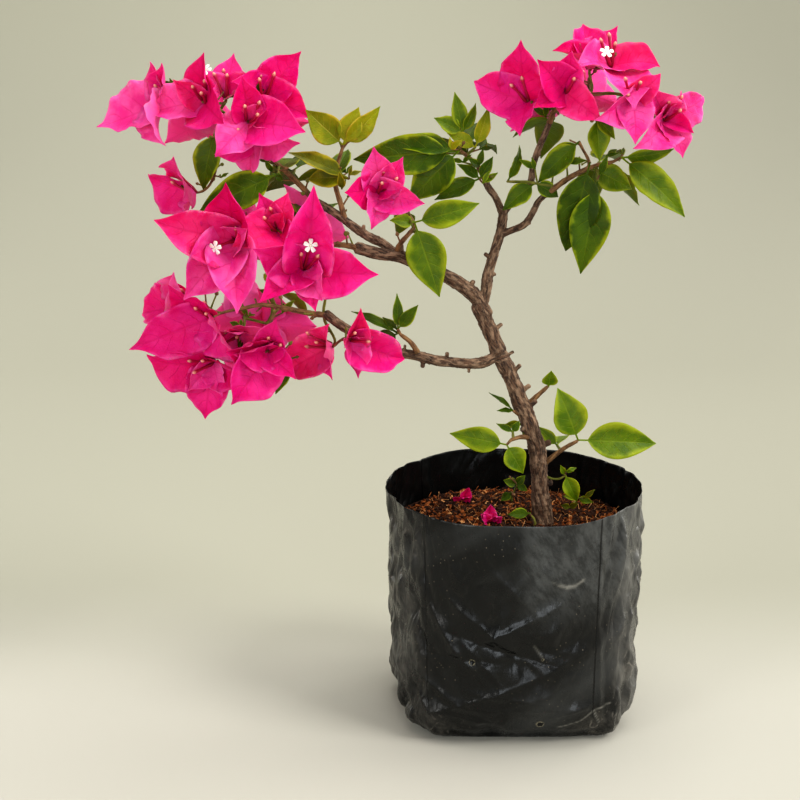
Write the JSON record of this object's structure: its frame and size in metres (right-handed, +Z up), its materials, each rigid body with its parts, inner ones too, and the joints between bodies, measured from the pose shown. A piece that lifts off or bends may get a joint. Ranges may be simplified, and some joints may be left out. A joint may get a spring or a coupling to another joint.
{
  "type": "potted bougainvillea",
  "caption": "Young bougainvillea in a black polythene grow bag, with a leaning woody trunk that forks into low boughs carrying masses of magenta bracts and ovate green leaves.",
  "frame": {"origin": "centre of the bag's flat underside, on the surface that it stands on", "axes": "+Z up along the trunk, -Y towards the plant's front, +X to the plant's right as seen from the front"},
  "size_m": [0.3648, 0.162, 0.4324],
  "materials": {
    "bag_film": "thin black polythene film, glossy, creased and dusty",
    "potting_mix": "moist reddish-brown coir and compost",
    "bark": "young ridged bark, brown and grey",
    "leaf": "satin green leaf with pale veins",
    "bract": "papery magenta bract with fine veins",
    "flower": "small waxy cream flower on a crimson tube"
  },
  "bodies": {
    "root": {"grow_bag": "bag_film", "potting_mix": "potting_mix", "trunk": "bark", "left_bough": "bark", "upper_left_bough": "bark", "lower_bough": "bark", "right_bough": "bark", "right_upper_bough": "bark", "right_inner_bough": "bark", "right_side_bough": "bark", "top_left_blooms": "bract", "middle_left_blooms": "bract", "lower_left_blooms": "bract", "centre_shoot": "bract", "young_leaves": "leaf", "inner_leaves": "leaf", "right_blooms": "bract", "right_leaves": "leaf", "bough_shoot": "leaf", "base_shoot_left": "leaf", "base_shoot_right": "leaf", "trunk_stub": "leaf", "trunk_shoot": "leaf", "foot_shoot": "leaf", "low_leaf": "leaf", "rear_seedling": "leaf", "side_seedling": "leaf", "fallen_bract_front": "bract", "fallen_bract_left": "bract"}
  },
  "joints": []
}
